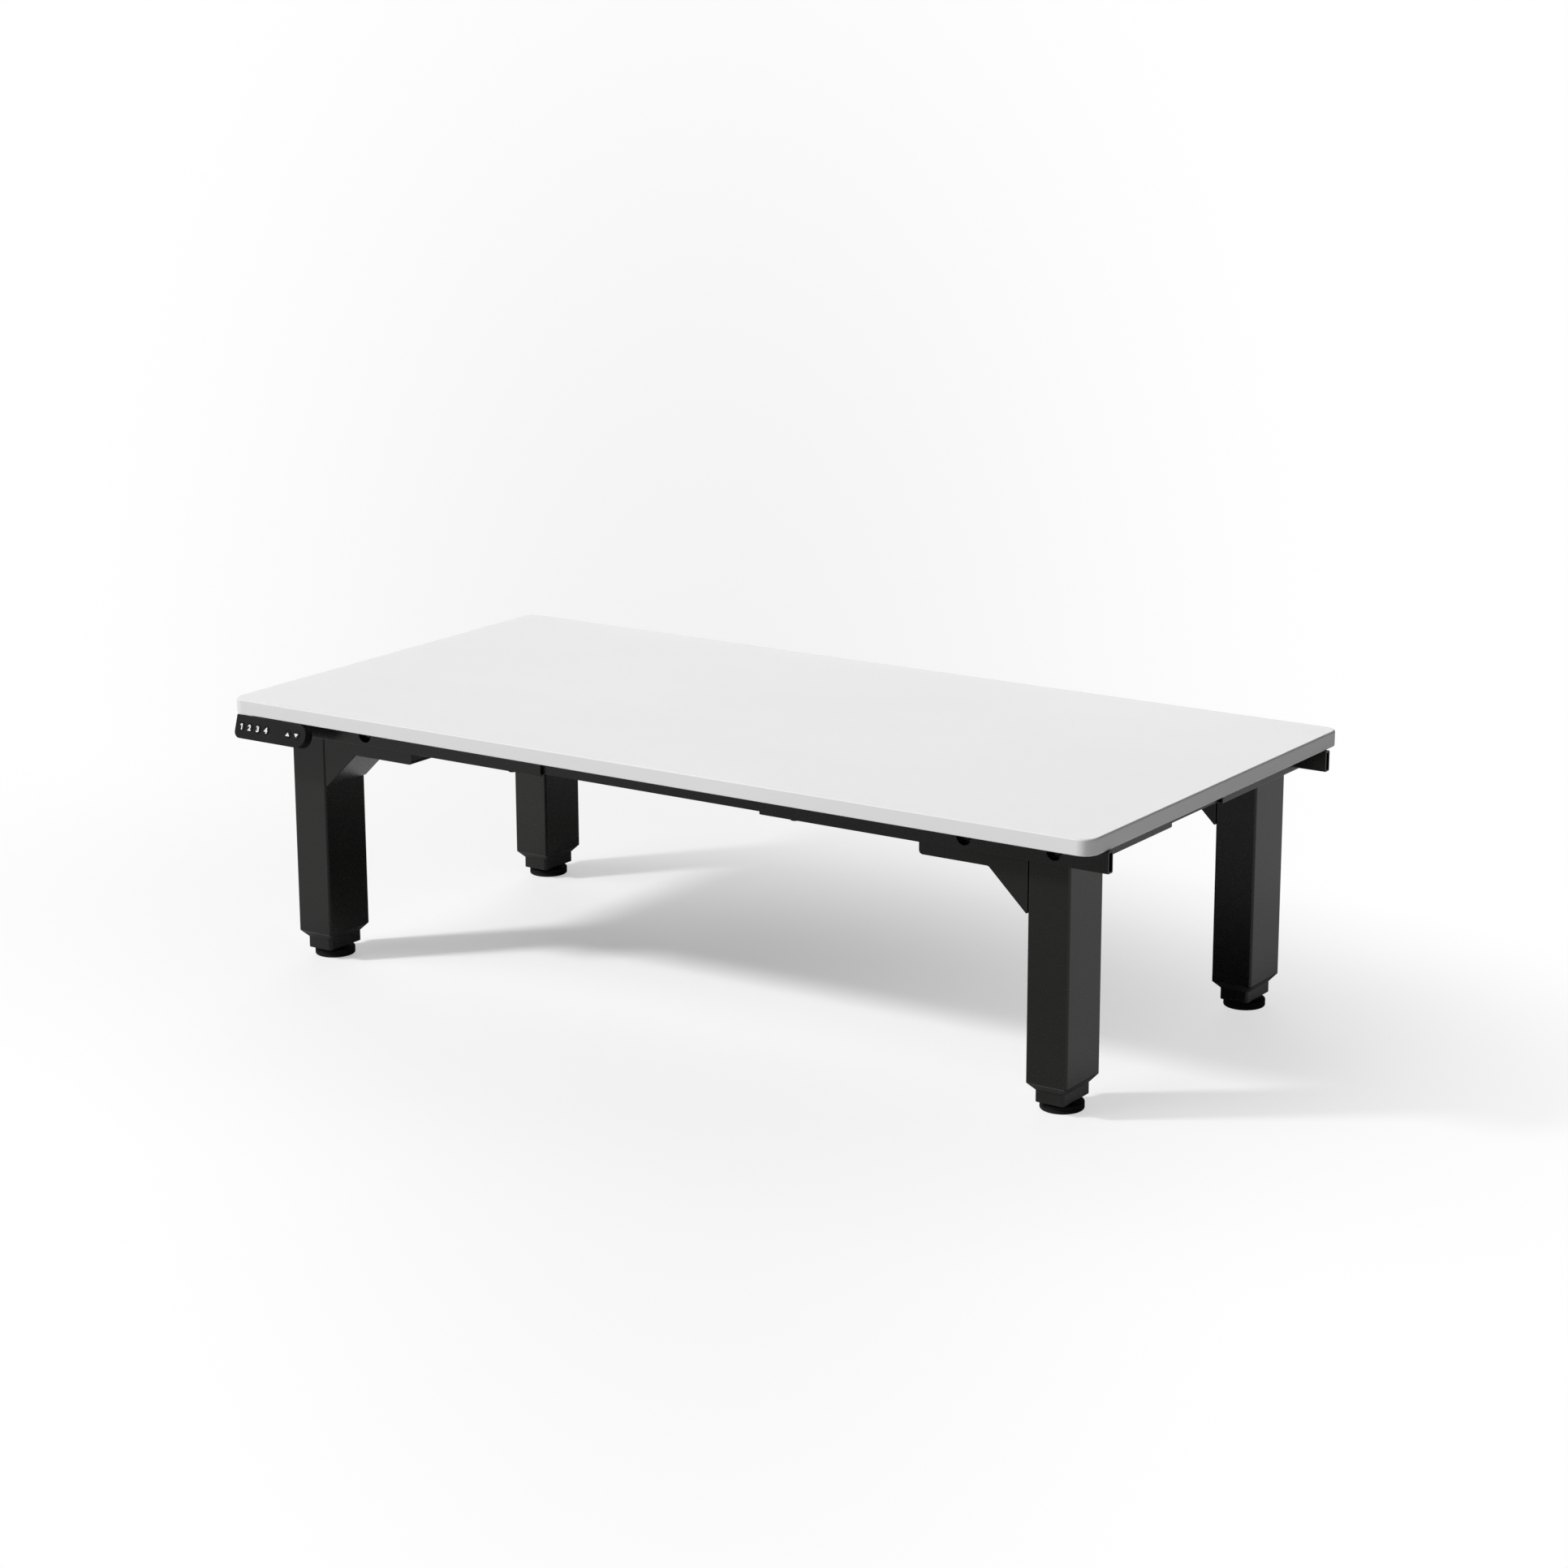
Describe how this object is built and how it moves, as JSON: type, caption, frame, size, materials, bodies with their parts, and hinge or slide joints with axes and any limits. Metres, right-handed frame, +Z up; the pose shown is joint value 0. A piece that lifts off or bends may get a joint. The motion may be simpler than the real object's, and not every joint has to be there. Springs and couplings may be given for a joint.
{
  "type": "height-adjustable low desk",
  "caption": "Low desk for sitting on the floor: plain white round-cornered top on motor-driven telescopic legs, with an extending rail frame and a button panel at the front.",
  "frame": {"origin": "on the floor, below the middle of the frame, with the desk at its lowest height", "axes": "+X to the right along the front edge, +Y to the back, +Z up; the user sits on the -Y side"},
  "size_m": [1.213, 0.608, 0.334],
  "materials": {
    "white_laminate": "matte white melamine on board",
    "black_powder_coat": "satin black powder coat on steel",
    "black_plastic": "moulded black plastic",
    "black_rubber": "matte",
    "handset_plastic": "fine matte with white print",
    "motor_steel": "plated",
    "spindle_steel": "rolled thread",
    "nut_plastic": "natural acetal",
    "board_laminate": "green solder resist"
  },
  "bodies": {
    "leg_front_left": {"inner_tube_front_left": "black_powder_coat", "spindle_nut_front_left": "nut_plastic"},
    "desk": {"tabletop": "white_laminate", "front_rail_left": "black_powder_coat", "front_rail_right": "black_powder_coat", "front_rail_middle": "black_powder_coat", "rear_rail_left": "black_powder_coat", "rear_rail_right": "black_powder_coat", "rear_rail_middle": "black_powder_coat", "side_rail_left_front": "black_powder_coat", "side_rail_left_rear": "black_powder_coat", "side_rail_left_middle": "black_powder_coat", "side_rail_right_front": "black_powder_coat", "side_rail_right_rear": "black_powder_coat", "side_rail_right_middle": "black_powder_coat", "outer_tube_front_left": "black_powder_coat", "outer_tube_front_right": "black_powder_coat", "outer_tube_rear_left": "black_powder_coat", "outer_tube_rear_right": "black_powder_coat", "motor_housing_front_left": "black_powder_coat", "motor_housing_front_right": "black_powder_coat", "motor_housing_rear_left": "black_powder_coat", "motor_housing_rear_right": "black_powder_coat", "gear_motor_front_left": "motor_steel", "gear_motor_front_right": "motor_steel", "gear_motor_rear_left": "motor_steel", "gear_motor_rear_right": "motor_steel", "guide_collar_front_left": "black_plastic", "guide_collar_front_right": "black_plastic", "guide_collar_rear_left": "black_plastic", "guide_collar_rear_right": "black_plastic", "handset_case": "handset_plastic", "handset_board": "board_laminate", "handset_bracket": "black_powder_coat", "control_box_plate": "black_powder_coat", "control_box_case": "black_plastic", "mains_inlet": "black_plastic"},
    "leg_front_right": {"inner_tube_front_right": "black_powder_coat", "spindle_nut_front_right": "nut_plastic"},
    "leg_rear_left": {"inner_tube_rear_left": "black_powder_coat", "spindle_nut_rear_left": "nut_plastic"},
    "leg_rear_right": {"inner_tube_rear_right": "black_powder_coat", "spindle_nut_rear_right": "nut_plastic"},
    "spindle_front_left": {"spindle_front_left": "spindle_steel"},
    "spindle_front_right": {"spindle_front_right": "spindle_steel"},
    "spindle_rear_left": {"spindle_rear_left": "spindle_steel"},
    "spindle_rear_right": {"spindle_rear_right": "spindle_steel"},
    "foot_front_left": {"levelling_foot_front_left": "black_rubber"},
    "foot_front_right": {"levelling_foot_front_right": "black_rubber"},
    "foot_rear_left": {"levelling_foot_rear_left": "black_rubber"},
    "foot_rear_right": {"levelling_foot_rear_right": "black_rubber"},
    "button_1": {"button_1": "handset_plastic"},
    "button_2": {"button_2": "handset_plastic"},
    "button_3": {"button_3": "handset_plastic"},
    "button_4": {"button_4": "handset_plastic"},
    "button_up": {"button_up": "handset_plastic"},
    "button_down": {"button_down": "handset_plastic"}
  },
  "joints": [
    {"name": "desk_lift", "type": "slide", "parent": "leg_front_left", "child": "desk", "axis": [0, 0, 1], "range_m": [0, 0.15]},
    {"name": "lift_front_right", "type": "slide", "parent": "desk", "child": "leg_front_right", "axis": [0, 0, -1], "range_m": [0, 0.15]},
    {"name": "lift_rear_left", "type": "slide", "parent": "desk", "child": "leg_rear_left", "axis": [0, 0, -1], "range_m": [0, 0.15]},
    {"name": "lift_rear_right", "type": "slide", "parent": "desk", "child": "leg_rear_right", "axis": [0, 0, -1], "range_m": [0, 0.15]},
    {"name": "spindle_turn_front_left", "type": "hinge", "parent": "desk", "child": "spindle_front_left", "pos_m": [-0.52505, -0.21925, 0.2], "axis": [0, 0, 1], "range_deg": [0, 9001]},
    {"name": "spindle_turn_front_right", "type": "hinge", "parent": "desk", "child": "spindle_front_right", "pos_m": [0.52505, -0.21925, 0.2], "axis": [0, 0, 1], "range_deg": [0, 9001]},
    {"name": "spindle_turn_rear_left", "type": "hinge", "parent": "desk", "child": "spindle_rear_left", "pos_m": [-0.52505, 0.21925, 0.2], "axis": [0, 0, 1], "range_deg": [0, 9001]},
    {"name": "spindle_turn_rear_right", "type": "hinge", "parent": "desk", "child": "spindle_rear_right", "pos_m": [0.52505, 0.21925, 0.2], "axis": [0, 0, 1], "range_deg": [0, 9001]},
    {"name": "foot_turn_front_left", "type": "hinge", "parent": "leg_front_left", "child": "foot_front_left", "pos_m": [-0.52505, -0.21925, 0.01], "axis": [0, 0, 1], "continuous": true},
    {"name": "foot_turn_front_right", "type": "hinge", "parent": "leg_front_right", "child": "foot_front_right", "pos_m": [0.52505, -0.21925, 0.01], "axis": [0, 0, 1], "continuous": true},
    {"name": "foot_turn_rear_left", "type": "hinge", "parent": "leg_rear_left", "child": "foot_rear_left", "pos_m": [-0.52505, 0.21925, 0.01], "axis": [0, 0, 1], "continuous": true},
    {"name": "foot_turn_rear_right", "type": "hinge", "parent": "leg_rear_right", "child": "foot_rear_right", "pos_m": [0.52505, 0.21925, 0.01], "axis": [0, 0, 1], "continuous": true},
    {"name": "button_1_press", "type": "slide", "parent": "desk", "child": "button_1", "axis": [0, 0.9563, -0.2924], "range_m": [0, 0.0008], "stiffness_N_per_m": 1500},
    {"name": "button_2_press", "type": "slide", "parent": "desk", "child": "button_2", "axis": [0, 0.9563, -0.2924], "range_m": [0, 0.0008], "stiffness_N_per_m": 1500},
    {"name": "button_3_press", "type": "slide", "parent": "desk", "child": "button_3", "axis": [0, 0.9563, -0.2924], "range_m": [0, 0.0008], "stiffness_N_per_m": 1500},
    {"name": "button_4_press", "type": "slide", "parent": "desk", "child": "button_4", "axis": [0, 0.9563, -0.2924], "range_m": [0, 0.0008], "stiffness_N_per_m": 1500},
    {"name": "button_up_press", "type": "slide", "parent": "desk", "child": "button_up", "axis": [0, 0.9563, -0.2924], "range_m": [0, 0.0008], "stiffness_N_per_m": 1500},
    {"name": "button_down_press", "type": "slide", "parent": "desk", "child": "button_down", "axis": [0, 0.9563, -0.2924], "range_m": [0, 0.0008], "stiffness_N_per_m": 1500}
  ],
  "couplings": [
    {"joint": "lift_front_right", "follows": "desk_lift", "ratio": 1},
    {"joint": "lift_rear_left", "follows": "desk_lift", "ratio": 1},
    {"joint": "lift_rear_right", "follows": "desk_lift", "ratio": 1},
    {"joint": "spindle_turn_front_left", "follows": "desk_lift", "rad_per_m": 1047.2},
    {"joint": "spindle_turn_front_right", "follows": "desk_lift", "rad_per_m": 1047.2},
    {"joint": "spindle_turn_rear_left", "follows": "desk_lift", "rad_per_m": 1047.2},
    {"joint": "spindle_turn_rear_right", "follows": "desk_lift", "rad_per_m": 1047.2}
  ]
}
